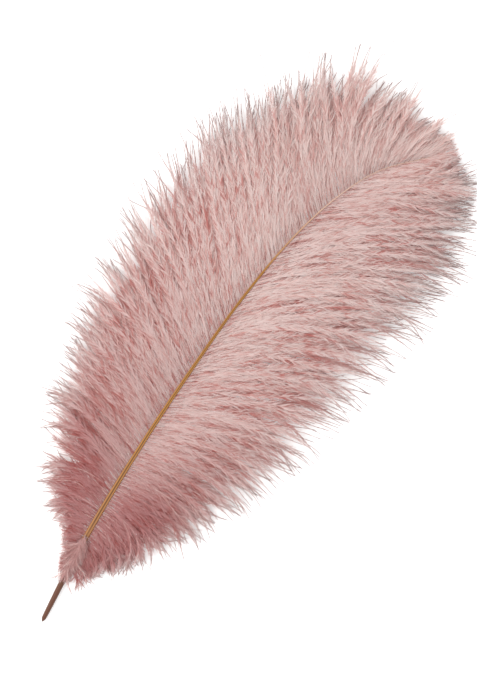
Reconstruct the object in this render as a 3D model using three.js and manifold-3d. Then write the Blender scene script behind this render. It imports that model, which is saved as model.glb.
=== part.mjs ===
// An ostrich plume, lying face up on a flat surface.
//
// Units are millimetres. +X runs from the quill end towards the tip, +Y is the side of the
// left vane and +Z is up. The origin is the centre of the footprint, on the surface.
//
// The feather grew as one piece, so it is one solid: a bare quill that runs on as a tapering,
// grooved shaft, with a vane on either side. Each vane's soft barbs gather into locks, which
// are ridges side by side near the shaft and come apart in points that droop to the surface.
import * as THREE from "three";
import { mergeVertices } from "three/addons/utils/BufferGeometryUtils.js";
import Module from "manifold-3d";

const wasm = await Module();
wasm.setup();

// ---- Driving dimensions ----

// The shaft's centre line, [x, y, z], from the quill end to the tip.
const SHAFT_LINE = [
  [-213.7, -39.4, 1.1],
  [-155.6, -24.2, 3.6],
  [-86.9, -10.8, 8.8],
  [-17.5, -0.5, 12.4],
  [36.9, 5.6, 13.4],
  [86.8, 7.6, 12.8],
  [126.8, 4.2, 11.4],
  [160.5, -5.1, 9.4],
  [191.2, -24.7, 6.6],
];
// The shaft's half width at distances from the quill end.
const SHAFT_RADIUS = [
  [0, 1.2],
  [6, 1.6],
  [30, 1.95],
  [60, 1.9],
  [130, 1.4],
  [210, 0.98],
  [265, 0.75],
  [315, 0.5],
  [360, 0.32],
  [420, 0.2],
];
const SHAFT_SIDES = 8;
const SHAFT_STEPS = 36;
const GROOVE_STARTS = 52; // the groove runs along the shaft's upper side from here
const GROOVE_DEPTH = 0.3; // as a share of the shaft's half width
const TOP_CORNER = 0.9; // a corner of the shaft whose sine is over this is on its upper side

// Each vane's barbs at distances from the quill end: [distance, barb length, angle from the
// shaft at the root, angle at the tip], in millimetres and degrees.
const LEFT_VANE = {
  side: 1,
  barbs: [
    [40, 8, 105, 140],
    [60, 14, 95, 122],
    [80, 38, 80, 110],
    [110, 65, 66, 96],
    [137, 79, 66, 85],
    [175, 95, 63, 74],
    [211, 113, 56, 57],
    [240, 123, 51, 43],
    [266, 120, 50, 38],
    [290, 110, 51, 37],
    [315, 101, 60, 31],
    [345, 90, 67, 20],
    [360, 78, 63, 20],
    [377, 58, 52, 24],
    [394, 38, 42, 24],
    [418, 18, 20, 12],
  ],
};
const RIGHT_VANE = {
  side: -1,
  barbs: [
    [40, 18, 110, 150],
    [60, 28, 98, 148],
    [80, 47, 87, 134],
    [110, 70, 77, 112],
    [137, 87, 68, 98],
    [175, 117, 48, 83],
    [211, 132, 38, 71],
    [240, 135, 35, 68],
    [266, 133, 36, 63],
    [290, 127, 38, 57],
    [315, 116, 40, 46],
    [345, 96, 38, 37],
    [360, 82, 36, 34],
    [377, 62, 32, 28],
    [394, 43, 26, 20],
    [418, 18, 12, 10],
  ],
};
const BARE_QUILL = 40; // from the quill end to the lowest barbs

// The locks.
const LOCKS_PER_VANE = 27;
const COLUMNS_PER_LOCK = 4;
const ROWS = 6; // from the shaft to the tips
const LONG_BARB = 90; // shorter locks are thinner in proportion, down to SHORT_SHARE
const SHORT_SHARE = 0.4;
const LOCK_REACH = [1.04, 0.95, 1.0, 0.92, 1.06, 0.97]; // length shares, lock after lock
const NOTCH_REACH = [0.9, 0.8, 0.92, 0.84, 0.76]; // and where the notches between them end
const GATHER = 0.75; // how far a lock's sides draw in to its middle at the tip
const WEB_HALF_THICKNESS = 1.3; // the vane's, between the ridges
const RIDGE_HEIGHT = 4.2; // a long lock's, over the web
const RIDGE_STEP = 0.25; // every other ridge is higher and the next lower by this share
const ARCH = 7.0; // how far a long barb rises above the line from its root to its tip
const ROOT_DROP = 0.9; // the vanes leave the shaft's sides this far under its centre line
const ROOT_OVERLAP = 0.6; // how far past the shaft's centre line they start
const TIP_HALF_THICKNESS = 0.55;
const TIP_HEIGHT = 0.1; // of the tips' middle: what lies under the surface is cut away
const CUT_BLOCK = [600, 400, 40]; // length, width and depth of the block that cuts it away
const DROOP = 1.6; // the power of the way out with which barbs fall towards the surface
const ARCH_LEAN = 0.85; // a power under 1 puts the arch's top nearer the shaft than the tip
const WEB_AT_SHAFT = 0.6; // share of the web's thickness where it leaves the shaft
const RIDGE_ENDS = 0.03; // share of the way out that is left off a ridge at either end
const RIDGE_LEAN = 0.8; // and this power puts its top nearer the shaft too

// ---- Small helpers ----

const STRAIGHT = 1e-6; // radians: a smaller turn than this is taken for none
const WELD = 1e-4; // points closer together than this become one

const { clamp, lerp } = THREE.MathUtils;
const radians = THREE.MathUtils.degToRad;

// A table's column at a distance, smooth between its rows.
function tableAt(table, distance, column) {
  const last = table.length - 1;
  const s = clamp(distance, table[0][0], table[last][0]);
  const row = clamp(table.findIndex((entry) => entry[0] > s) - 1, 0, last - 1);
  const from = s >= table[last][0] ? last - 1 : row;
  const slope = (i) => {
    const [a, b] = [table[Math.max(i - 1, 0)], table[Math.min(i + 1, last)]];
    return (b[column] - a[column]) / (b[0] - a[0]);
  };
  const step = table[from + 1][0] - table[from][0];
  const t = (s - table[from][0]) / step;
  return (
    (2 * t ** 3 - 3 * t ** 2 + 1) * table[from][column] +
    (t ** 3 - 2 * t ** 2 + t) * step * slope(from) +
    (3 * t ** 2 - 2 * t ** 3) * table[from + 1][column] +
    (t ** 3 - t ** 2) * step * slope(from + 1)
  );
}

function solidFrom(geometry) {
  geometry.deleteAttribute("normal");
  geometry.deleteAttribute("uv");
  const merged = mergeVertices(geometry, WELD);
  const made = new wasm.Manifold(
    new wasm.Mesh({
      numProp: 3,
      vertProperties: merged.getAttribute("position").array,
      triVerts: new Uint32Array(merged.index.array),
    }),
  );
  if (made.volume() < 0) throw new Error("a solid is inside out");
  return made;
}

function geometryFrom(solid) {
  const mesh = solid.getMesh();
  const geometry = new THREE.BufferGeometry();
  geometry.setAttribute("position", new THREE.BufferAttribute(mesh.vertProperties, 3));
  geometry.setIndex(new THREE.BufferAttribute(mesh.triVerts, 1));
  geometry.computeVertexNormals();
  return geometry;
}

// ---- The shaft ----

const shaftCurve = new THREE.CatmullRomCurve3(
  SHAFT_LINE.map(([x, y, z]) => new THREE.Vector3(x, y, z)),
  false,
  "centripetal",
);
const shaftLength = shaftCurve.getLength();

// A closed cylinder, bent along the shaft's line, tapered and grooved.
function shaftSolid() {
  const geometry = new THREE.CylinderGeometry(1, 1, 1, SHAFT_SIDES, SHAFT_STEPS);
  const position = geometry.getAttribute("position");
  const up = new THREE.Vector3(0, 0, 1);
  for (let i = 0; i < position.count; i++) {
    const t = clamp(position.getY(i) + 0.5, 0, 1);
    const [cosine, sine] = [position.getX(i), position.getZ(i)];
    const along = shaftCurve.getTangentAt(t);
    const across = new THREE.Vector3().crossVectors(along, up).normalize();
    const rise = new THREE.Vector3().crossVectors(across, along);
    const radius = tableAt(SHAFT_RADIUS, t * shaftLength, 1);
    const grooved = sine > TOP_CORNER && t * shaftLength > GROOVE_STARTS;
    const height = grooved ? sine * (1 - GROOVE_DEPTH) : sine;
    const point = shaftCurve.getPointAt(t);
    point.addScaledVector(across, radius * cosine).addScaledVector(rise, radius * height);
    position.setXYZ(i, point.x, point.y, point.z);
  }
  return solidFrom(geometry);
}

// ---- The vanes ----

// Where a barb that leaves the shaft at a distance has got to at a share of its length. Seen
// from above it is an arc that turns from its root angle to its tip angle.
function barbPoint(vane, distance, share) {
  const t = clamp(distance / shaftLength, 0, 1);
  const root = shaftCurve.getPointAt(t);
  const along = shaftCurve.getTangentAt(t);
  const rootAngle = radians(tableAt(vane.barbs, distance, 2));
  const tipAngle = radians(tableAt(vane.barbs, distance, 3));
  const heading = Math.atan2(along.y, along.x) + vane.side * rootAngle;
  const halfTurn = (vane.side * (tipAngle - rootAngle) * share) / 2;
  const length = share * tableAt(vane.barbs, distance, 1);
  const chord = Math.abs(halfTurn) < STRAIGHT ? length : (length * Math.sin(halfTurn)) / halfTurn;
  root.x += chord * Math.cos(heading + halfTurn) + vane.side * ROOT_OVERLAP * along.y;
  root.y += chord * Math.sin(heading + halfTurn) - vane.side * ROOT_OVERLAP * along.x;
  return root;
}

// How far along its barb a column of the vane reaches, and its lock's own reach.
function columnReach(lock, phase) {
  const own = LOCK_REACH[lock % LOCK_REACH.length];
  const nextLock = phase < 0.5 ? lock + LOCK_REACH.length - 1 : lock + 1;
  const beside = LOCK_REACH[nextLock % LOCK_REACH.length];
  const notchIndex = phase < 0.5 ? lock : lock + 1;
  const notch = NOTCH_REACH[notchIndex % NOTCH_REACH.length];
  const inward = Math.sin(Math.PI * phase);
  const tip = phase === 0 || phase === 1 ? (own + beside) / 2 : own;
  return { reach: lerp(notch, own, inward ** 0.8), tip, inward };
}

// A closed slab, bent over the barbs' lines: its columns run out from the shaft, and its rows
// run along the shaft.
function vaneSolid(vane) {
  const columns = LOCKS_PER_VANE * COLUMNS_PER_LOCK;
  const geometry = new THREE.BoxGeometry(1, 1, 1, columns, 1, ROWS);
  const position = geometry.getAttribute("position");
  for (let i = 0; i < position.count; i++) {
    const column = Math.round((position.getX(i) + 0.5) * columns);
    const row = clamp(vane.side > 0 ? 0.5 - position.getZ(i) : 0.5 + position.getZ(i), 0, 1);
    const lock = Math.min(Math.floor(column / COLUMNS_PER_LOCK), LOCKS_PER_VANE - 1);
    const phase = column / COLUMNS_PER_LOCK - lock;
    const { reach, tip, inward } = columnReach(lock, phase);

    const pitch = (shaftLength - BARE_QUILL) / LOCKS_PER_VANE;
    const drawn = phase === 0 || phase === 1 ? 0 : GATHER * row ** 3;
    const place = lock + lerp(phase, 0.5, drawn);
    const distance = BARE_QUILL + place * pitch;
    const share = row * reach;
    const point = barbPoint(vane, distance, share);

    const size = lerp(SHORT_SHARE, 1, clamp(tableAt(vane.barbs, distance, 1) / LONG_BARB, 0, 1));
    const out = share / tip;
    point.z = lerp(point.z - ROOT_DROP, TIP_HEIGHT, out ** DROOP);
    point.z += size * ARCH * Math.sin(Math.PI * out ** ARCH_LEAN);
    const web = size * WEB_HALF_THICKNESS * Math.min(WEB_AT_SHAFT + out, 1);
    const half = lerp(web, TIP_HALF_THICKNESS, out ** 3);
    const step = 1 + (lock % 2 ? RIDGE_STEP : -RIDGE_STEP);
    const ridgeWay = clamp(out * (1 - 2 * RIDGE_ENDS) + RIDGE_ENDS, 0, 1);
    const swell = Math.sin(Math.PI * ridgeWay ** RIDGE_LEAN);
    const ridge = size * RIDGE_HEIGHT * step * inward * swell;
    point.z += position.getY(i) > 0 ? half + ridge : -half;
    position.setXYZ(i, point.x, point.y, point.z);
  }
  return solidFrom(geometry);
}

// ---- The feather ----

// What lies under the surface's level, cut away so that the feather rests flat on it.
function surfaceBlock() {
  const block = new THREE.BoxGeometry(...CUT_BLOCK);
  block.translate(0, 0, -CUT_BLOCK[2] / 2);
  return solidFrom(block);
}

function featherGeometry() {
  const vanes = vaneSolid(LEFT_VANE).add(vaneSolid(RIGHT_VANE));
  return geometryFrom(shaftSolid().add(vanes).subtract(surfaceBlock()));
}

const barbMaterial = new THREE.MeshStandardMaterial({
  color: 0xd3aaa4,
  roughness: 0.95,
  metalness: 0,
  side: THREE.DoubleSide,
});

const plume = new THREE.Group();
const feather = new THREE.Mesh(featherGeometry(), barbMaterial);
feather.name = "feather";
plume.add(feather);

export default plume;
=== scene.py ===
# %% [markdown]
# # An ostrich plume
# A plume from an ostrich's wing, dyed a dusty rose, lying on a pale table with the grooved side of
# its shaft up. It is one grown thing: a quill that runs on as a tapering shaft, and on either side
# a vane of long barbs. Each barb carries two rows of soft barbules with no hooks to zip them
# together, which is why the vane is loose and fluffy and falls into locks.

# %% Frame
import math
from types import SimpleNamespace

import bpy
import numpy as np
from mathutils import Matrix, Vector


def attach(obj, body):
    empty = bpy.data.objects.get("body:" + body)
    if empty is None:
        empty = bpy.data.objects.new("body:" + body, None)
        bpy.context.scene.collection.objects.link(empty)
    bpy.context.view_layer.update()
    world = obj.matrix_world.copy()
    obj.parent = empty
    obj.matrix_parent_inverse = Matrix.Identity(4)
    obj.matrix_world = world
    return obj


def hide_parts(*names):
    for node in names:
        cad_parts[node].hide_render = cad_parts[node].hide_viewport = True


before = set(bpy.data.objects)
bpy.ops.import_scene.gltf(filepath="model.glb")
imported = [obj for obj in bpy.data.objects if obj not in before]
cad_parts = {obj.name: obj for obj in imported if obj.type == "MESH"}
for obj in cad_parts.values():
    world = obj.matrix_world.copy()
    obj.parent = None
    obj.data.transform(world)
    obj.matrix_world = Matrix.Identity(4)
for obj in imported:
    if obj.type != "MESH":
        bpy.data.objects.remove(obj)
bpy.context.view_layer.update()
MM = 0.001

# %% [markdown]
# ## Node helpers
# A node tree can be wired by hand, one link at a time, but a formula then takes a page. Here a
# Wire wraps a socket so that Python's own + - * make the Math nodes, and a Bench makes any
# other node from its type, its settings and what goes into its sockets.

# %% Wires and benches
class Wire:
    """An output socket that sums and products can be written with."""

    def __init__(self, bench, socket):
        self.bench = bench
        self.socket = socket

    def __add__(self, other):
        return self.bench.maths("ADD", self, other)

    def __radd__(self, other):
        return self.bench.maths("ADD", other, self)

    def __sub__(self, other):
        return self.bench.maths("SUBTRACT", self, other)

    def __rsub__(self, other):
        return self.bench.maths("SUBTRACT", other, self)

    def __mul__(self, other):
        return self.bench.maths("MULTIPLY", self, other)

    def __rmul__(self, other):
        return self.bench.maths("MULTIPLY", other, self)


class Made:
    """A node whose outputs come out as wires, by name or number."""

    def __init__(self, bench, node):
        self.bench = bench
        self.node = node

    def __getitem__(self, key):
        return Wire(self.bench, self.node.outputs[key])


class Bench:
    """Makes and links the nodes of one tree."""

    def __init__(self, tree):
        self.tree = tree

    def add(self, kind, settings=None, sockets=None):
        node = self.tree.nodes.new(kind)
        for name, value in (settings or {}).items():
            if name == "stops":
                self.set_stops(node.color_ramp, value)
            else:
                setattr(node, name, value)
        for key, value in (sockets or {}).items():
            if isinstance(value, Wire):
                self.tree.links.new(value.socket, node.inputs[key])
            else:
                node.inputs[key].default_value = value
        return Made(self, node)

    def set_stops(self, ramp, stops):
        while len(ramp.elements) < len(stops):
            ramp.elements.new(0.5)
        for element, (place, colour) in zip(ramp.elements, stops):
            element.position = place
            element.color = colour

    def maths(self, operation, *values):
        """A number worked out from one or two others."""
        return self.add("ShaderNodeMath", {"operation": operation}, dict(enumerate(values)))[0]

    def vector(self, operation, first, second=None, scale=None):
        """Vector maths: the result is a vector."""
        sockets = {0: first}
        if second is not None:
            sockets[1] = second
        if scale is not None:
            sockets["Scale"] = scale
        return self.add("ShaderNodeVectorMath", {"operation": operation}, sockets)[0]

    def between(self, value, span, ends=(0.0, 1.0), smooth=False):
        """Goes from the first to the second of ends while value crosses span, and no further."""
        return self.add(
            "ShaderNodeMapRange",
            {"interpolation_type": "SMOOTHSTEP" if smooth else "LINEAR"},
            {"Value": value, "From Min": span[0], "From Max": span[1], "To Min": ends[0], "To Max": ends[1]},
        )["Result"]

    def mix(self, share, first, second, blend="MIX"):
        """A colour between two others, or the first one dyed with the second."""
        return self.add(
            "ShaderNodeMix",
            {"data_type": "RGBA", "blend_type": blend},
            {0: share, 6: first, 7: second},
        )[2]

    def noise(self, place, stretch, detail):
        """Uneven grey over a flat place, stretched by a number of waves each way."""
        return self.add(
            "ShaderNodeTexNoise",
            {"noise_dimensions": "2D"},
            {"Vector": self.vector("MULTIPLY", place, stretch), "Scale": 1.0, "Detail": detail},
        )["Fac"]


def linear(red, green, blue):
    """A colour as a painter would pick it, 0 to 255, as the light values that shaders use."""
    def lighten(value):
        # a screen's own curve: straight for the darkest values, then a power
        share = value / 255
        return share / 12.92 if share <= 0.04045 else ((share + 0.055) / 1.055) ** 2.4
    return (lighten(red), lighten(green), lighten(blue), 1.0)


print("helpers ready")

# %% [markdown]
# ## The lines of the feather
# Every barb is placed by where it leaves the shaft. A table gives, at distances along the shaft,
# how long the barbs are there and at what angle they leave and end. Hand-placing hundreds of
# barbs would never look grown; a table read between its rows does, and it is the same table
# that the solid feather is made from, so the barbs stay where the solid is.

# %% Shaft line and barb tables, in mm and degrees
SHAFT_LINE = np.array([
    [-213.7, -39.4, 1.1], [-155.6, -24.2, 3.6], [-86.9, -10.8, 8.8], [-17.5, -0.5, 12.4],
    [36.9, 5.6, 13.4], [86.8, 7.6, 12.8], [126.8, 4.2, 11.4], [160.5, -5.1, 9.4],
    [191.2, -24.7, 6.6],
])
# distance from the quill end, half width there
SHAFT_HALF_WIDTH = np.array([
    [0, 1.2], [6, 1.6], [30, 1.95], [60, 1.9], [130, 1.4], [210, 0.98], [265, 0.75],
    [315, 0.5], [360, 0.32], [420, 0.2],
])
# distance from the quill end, barb length, angle at the root, angle at the tip
LEFT_BARBS = np.array([
    [40, 8, 105, 140], [60, 14, 95, 122], [80, 38, 80, 110], [110, 65, 66, 96],
    [137, 79, 66, 85], [175, 95, 63, 74], [211, 113, 56, 57], [240, 123, 51, 43],
    [266, 120, 50, 38], [290, 110, 51, 37], [315, 101, 60, 31], [345, 90, 67, 20],
    [360, 78, 63, 20], [377, 58, 52, 24], [394, 38, 42, 24], [418, 18, 20, 12],
])
RIGHT_BARBS = np.array([
    [40, 18, 110, 150], [60, 28, 98, 148], [80, 47, 87, 134], [110, 70, 77, 112],
    [137, 87, 68, 98], [175, 117, 48, 83], [211, 132, 38, 71], [240, 135, 35, 68],
    [266, 133, 36, 63], [290, 127, 38, 57], [315, 116, 40, 46], [345, 96, 38, 37],
    [360, 82, 36, 34], [377, 62, 32, 28], [394, 43, 26, 20], [418, 18, 12, 10],
])
LENGTH_COLUMN, ROOT_COLUMN, TIP_COLUMN = 1, 2, 3


def read_table(table, at, column=1):
    """A column of a table at any distance, smooth between its rows."""
    places, values = table[:, 0].astype(float), table[:, column].astype(float)
    slopes = np.empty_like(values)
    slopes[1:-1] = (values[2:] - values[:-2]) / (places[2:] - places[:-2])
    slopes[0] = (values[1] - values[0]) / (places[1] - places[0])
    slopes[-1] = (values[-1] - values[-2]) / (places[-1] - places[-2])
    at = np.clip(at, places[0], places[-1])
    row = np.clip(np.searchsorted(places, at, side="right") - 1, 0, len(places) - 2)
    step = places[row + 1] - places[row]
    t = (at - places[row]) / step
    return (
        (2 * t**3 - 3 * t**2 + 1) * values[row]
        + (t**3 - 2 * t**2 + t) * step * slopes[row]
        + (3 * t**2 - 2 * t**3) * values[row + 1]
        + (t**3 - t**2) * step * slopes[row + 1]
    )


print("rows in the barb tables:", len(LEFT_BARBS), len(RIGHT_BARBS))

# %% The shaft as a smooth line
STEPS_BETWEEN_POINTS = 60


def through(points, steps):
    """A smooth line through points: a centripetal Catmull-Rom spline."""
    padded = np.vstack([2 * points[0] - points[1], points, 2 * points[-1] - points[-2]])
    line = []
    for p0, p1, p2, p3 in zip(padded, padded[1:], padded[2:], padded[3:]):
        t1 = math.sqrt(np.linalg.norm(p1 - p0))
        t2 = t1 + math.sqrt(np.linalg.norm(p2 - p1))
        t3 = t2 + math.sqrt(np.linalg.norm(p3 - p2))
        for t in np.linspace(t1, t2, steps, endpoint=False):
            a1 = (t1 - t) / t1 * p0 + t / t1 * p1
            a2 = (t2 - t) / (t2 - t1) * p1 + (t - t1) / (t2 - t1) * p2
            a3 = (t3 - t) / (t3 - t2) * p2 + (t - t2) / (t3 - t2) * p3
            b1 = (t2 - t) / t2 * a1 + t / t2 * a2
            b2 = (t3 - t) / (t3 - t1) * a2 + (t - t1) / (t3 - t1) * a3
            line.append((t2 - t) / (t2 - t1) * b1 + (t - t1) / (t2 - t1) * b2)
    return np.array(line + [points[-1]])


shaft_points = through(SHAFT_LINE, STEPS_BETWEEN_POINTS)
shaft_moves = np.diff(shaft_points, axis=0)
shaft_distance = np.concatenate([[0.0], np.cumsum(np.linalg.norm(shaft_moves, axis=1))])
SHAFT_LENGTH = shaft_distance[-1]
shaft_middles = (shaft_distance[1:] + shaft_distance[:-1]) / 2
shaft_headings = np.unwrap(np.arctan2(shaft_moves[:, 1], shaft_moves[:, 0]))


def shaft_at(distance):
    """The shaft's middle and its heading, seen from above, at distances from the quill end."""
    place = np.stack([np.interp(distance, shaft_distance, shaft_points[:, i]) for i in range(3)], -1)
    return place, np.interp(distance, shaft_middles, shaft_headings)


print("shaft length, mm:", round(float(SHAFT_LENGTH), 1))

# %% [markdown]
# ## The two vanes
# Each vane has tables of its own for what changes from the quill to the tip besides the barbs'
# length and angles: how loosely they lie on one another, how deep the dye took, and how far the
# longest wisps reach past the rest. The left vane's dye is worn towards the tip, and three of
# its wisps there stand apart.

# %% Tables of the vanes, by distance from the quill end
# how far the barbs differ from one another in height
LEFT_DEPTH = np.array([[40, 1.1], [150, 1.0], [250, 0.9], [320, 0.75], [420, 0.75]])
RIGHT_DEPTH = np.array([[40, 1.1], [200, 1.25], [420, 1.4]])
# how much deeper the dye took
LEFT_BLUSH = np.array([[40, 1.1], [90, 1.0], [130, 0.58], [170, 0.4], [250, 0.1], [300, 0.0], [420, 0.0]])
RIGHT_BLUSH = np.array([[40, 1.1], [90, 1.0], [130, 0.52], [170, 0.25], [250, 0.12], [330, 0.18], [420, 0.1]])
# the share of their length that the longest wisps reach past the rest
LEFT_WISPS = np.array([[40, 0.14], [150, 0.1], [250, 0.1], [290, 0.28], [330, 0.5], [380, 0.6], [420, 0.5]])
RIGHT_WISPS = np.array([[40, 0.14], [150, 0.06], [270, 0.04], [330, 0.14], [380, 0.2], [420, 0.2]])
# the tall wisps: distance, share of their length that they reach past the rest, outward lean of
# their tips in degrees
TALL_WISPS = [(336.0, 0.02, 34.0), (348.0, 0.13, 26.0), (358.0, 0.24, 16.0)]
# mm across, where the reach of the longest barbs begins to give
LEFT_EDGE, RIGHT_EDGE = 106.0, 97.0

LEFT_VANE = {
    "side": 1, "seed": 11, "barbs": LEFT_BARBS, "depth": LEFT_DEPTH, "blush": LEFT_BLUSH,
    "wisps": LEFT_WISPS, "tall wisps": TALL_WISPS, "edge": LEFT_EDGE, "wears": 1.0,
}
RIGHT_VANE = {
    "side": -1, "seed": 29, "barbs": RIGHT_BARBS, "depth": RIGHT_DEPTH, "blush": RIGHT_BLUSH,
    "wisps": RIGHT_WISPS, "tall wisps": [], "edge": RIGHT_EDGE, "wears": 0.0,
}
print("tall wisps, mm from the quill end:", [wisp[0] for wisp in TALL_WISPS])

# %% [markdown]
# ## What each barb is like
# Six hundred barbs grow on each side. The real ones don't lie like the teeth of a comb:
# neighbours cling together in locks, small wisps inside a lock draw to a point, some lie on top
# and some have slipped underneath. Modelling every barb by hand is out of the question and a
# particle system is lost when the model is exported, so the lines are worked out with arrays
# that hold one value for each barb. First comes its character: the lock and the wisp that it
# clings to, and how unruly it is. Everything random comes from one generator with a fixed seed.

# %% Random helpers
def ease(low, high, x):
    """0 below low, 1 above high, and a smooth rise between."""
    t = np.clip((x - low) / (high - low), 0, 1)
    return t * t * (3 - 2 * t)


def bell(draw, spread, shape):
    """Random values around nought, without the rare far ones."""
    return spread * np.clip(draw.normal(0, 1, shape), -2, 2)


def groups(alone, sizes, draw):
    """Splits a row of barbs into groups of random sizes. Those that are alone get a group each."""
    count = len(alone)
    number = np.empty(count, int)
    start, group = 0, 0
    while start < count:
        size = int(draw.integers(*sizes))
        number[start:start + size] = group
        start += size
        group += 1
    return np.where(alone, group + np.arange(count), number)


print("halfway through a rise:", ease(0, 1, 0.5))

# %% Characters
BARBS_PER_SIDE = 600
FIRST_BARB = 40.0           # mm from the quill end
UNEVEN_SPACING = 0.3        # share of the space between two barbs
UNDER_SHARE = 0.42          # of the barbs, those that have slipped underneath
LOCK_BARBS = (6, 20)        # barbs in a lock
WISP_BARBS = (2, 5)         # barbs in a wisp
STRAY_SHARE = 0.2           # of the barbs, those that go their own way towards the tip
STRAYING = 2.2              # how much more unruly those are
FOOT_REACH = (60.0, 140.0)  # mm from the quill end, where the lowest barbs' unruliness dies out
FOOT_CURL = 1.6             # how much more unruly the lowest barbs are
WISPY_SHARE = 0.22          # of the wisps, those that reach out bare past the rest
TALL_WISP_WIDTH = 2.4       # mm to either side that the barbs of a tall wisp come from


def characters(vane, draw):
    """Where each barb leaves the shaft, what it clings to and how unruly it is."""
    count = BARBS_PER_SIDE
    pitch = (SHAFT_LENGTH - FIRST_BARB) / count
    shift = draw.uniform(-UNEVEN_SPACING, UNEVEN_SPACING, count)
    barbs = SimpleNamespace(vane=vane, distance=FIRST_BARB + (np.arange(count) + 0.5 + shift) * pitch)
    barbs.under = draw.uniform(0, 1, count) < UNDER_SHARE
    barbs.locks = groups(barbs.under, LOCK_BARBS, draw)
    barbs.wisps = groups(barbs.under, WISP_BARBS, draw)
    barbs.lock_luck = draw.uniform(0, 1, barbs.locks.max() + 1)[barbs.locks]
    barbs.wisp_luck = draw.uniform(0, 1, barbs.wisps.max() + 1)[barbs.wisps]
    barbs.luck = draw.uniform(0, 1, count)
    barbs.at_foot = 1 - ease(*FOOT_REACH, barbs.distance)
    unruly = np.where(draw.uniform(0, 1, count) < STRAY_SHARE, STRAYING, 1.0)
    unruly = unruly * (1 + FOOT_CURL * barbs.at_foot)
    reaching = draw.uniform(0, 1, barbs.wisps.max() + 1) < WISPY_SHARE
    barbs.wispy = reaching[barbs.wisps] & ~barbs.under
    barbs.unruly = np.where(barbs.wispy, 1.0, unruly)
    return barbs


def set_apart(barbs):
    """Picks out the barbs of the tall wisps and makes each wisp a group of its own."""
    barbs.tall = np.zeros(BARBS_PER_SIDE, bool)
    barbs.tall_reach = np.ones(BARBS_PER_SIDE)
    barbs.tall_lean = np.zeros(BARBS_PER_SIDE)
    for place, reach, lean in barbs.vane["tall wisps"]:
        apart = (np.abs(barbs.distance - place) < TALL_WISP_WIDTH) & ~barbs.under
        barbs.tall = barbs.tall | apart
        barbs.wisps = np.where(apart, barbs.wisps.max() + 1, barbs.wisps)
        barbs.tall_reach = np.where(apart, 1 + reach, barbs.tall_reach)
        barbs.tall_lean = np.where(apart, lean, barbs.tall_lean)


print("barbs on each side:", BARBS_PER_SIDE)

# %% [markdown]
# ## The barbs from above
# A barb leaves the shaft at one angle and ends at another, so it bends all the way. On top of
# that bend come a slight wave and, mostly near the foot, a hook at the end. Turning a little at
# each of a few points and adding the strides up gives the curve, and the barb keeps its length
# however it bends, which a curve drawn between two ends wouldn't.

# %% Lengths
OVERHANG = 0.5              # mm that the barbules at a barb's tip reach past it
LEAST_LENGTH = 0.91         # share of the table's length that every barb has
LOCK_LENGTH = 0.03          # and what its lock, its wisp and the barb itself may add
WISP_LENGTH = 0.06
OWN_LENGTH = 0.1
WISPY_LENGTH = 1.02         # the least of a barb that reaches out, against the others
WISPY_RARITY = 1.6          # a power: the higher it is, the fewer wisps reach far
STUNTED_SHARE = 0.12        # of the barbs, those that stayed short
STUNTED_LENGTH = (0.7, 0.95)


def lengths(barbs, draw):
    """Each barb's length in mm."""
    whole = read_table(barbs.vane["barbs"], barbs.distance, LENGTH_COLUMN)
    length = (whole - OVERHANG) * (
        LEAST_LENGTH + LOCK_LENGTH * barbs.lock_luck + WISP_LENGTH * barbs.wisp_luck + OWN_LENGTH * barbs.luck
    )
    past = read_table(barbs.vane["wisps"], barbs.distance) * barbs.wisp_luck**WISPY_RARITY
    length = length * np.where(barbs.wispy, WISPY_LENGTH + past, 1)
    stunted = draw.uniform(0, 1, BARBS_PER_SIDE) < STUNTED_SHARE
    length = length * np.where(stunted, draw.uniform(*STUNTED_LENGTH, BARBS_PER_SIDE), 1)
    return np.where(barbs.tall, whole * barbs.tall_reach, length)


print("longest barbs, mm:", LEFT_BARBS[:, LENGTH_COLUMN].max(), RIGHT_BARBS[:, LENGTH_COLUMN].max())

# %% Bearings
LINE_POINTS = 15            # along each barb
SHARE = np.linspace(0, 1, LINE_POINTS)      # of the way out, at each point
HALFWAY = (SHARE[1:] + SHARE[:-1]) / 2      # and halfway between the points
ROOT_SPREAD = 2.0           # degrees that barbs differ by at the root
TIP_SPREAD = 8.0            # at the tip
LOCK_SPREAD = 2.0           # and that whole locks differ by
WAVE = 0.15                 # radians
WAVE_AT_ROOT = 0.3          # share of the wave that is there from the start
WAVE_GROWTH = 0.6           # a power: how the wave follows a barb's unruliness
WAVE_ROUNDS = (0.6, 1.7)    # waves along a barb
HOOK = 0.8                  # radians, at the foot
HOOK_ELSEWHERE = 0.3        # share of it that is left further up


def bearings(barbs, heading, draw):
    """The direction of every stretch of every barb, seen from above, in radians."""
    table, single = barbs.vane["barbs"], (BARBS_PER_SIDE, 1)
    root = read_table(table, barbs.distance, ROOT_COLUMN) + bell(draw, ROOT_SPREAD, BARBS_PER_SIDE)
    tip = read_table(table, barbs.distance, TIP_COLUMN)
    tip = tip + bell(draw, TIP_SPREAD, BARBS_PER_SIDE) * barbs.unruly
    tip = tip + barbs.tall_lean + bell(draw, LOCK_SPREAD, barbs.locks.max() + 1)[barbs.locks]
    root, tip = np.radians(root)[:, None], np.radians(tip)[:, None]
    turn = root + (tip - root) * HALFWAY
    swing = bell(draw, WAVE, single) * barbs.unruly[:, None] ** WAVE_GROWTH
    swing = swing * (WAVE_AT_ROOT + (1 - WAVE_AT_ROOT) * HALFWAY)
    rounds = draw.uniform(*WAVE_ROUNDS, single) * HALFWAY + draw.uniform(0, 1, single)
    hook = bell(draw, HOOK, single) * (HOOK_ELSEWHERE + barbs.at_foot[:, None]) * HALFWAY**2
    return heading[:, None] + barbs.vane["side"] * turn + swing * np.sin(2 * np.pi * rounds) + hook


print("stretches of a barb:", len(HALFWAY))

# %% Lines from above
EDGE_GIVE = 10.0            # mm that the longest barbs get past the vane's edge, at most


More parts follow.
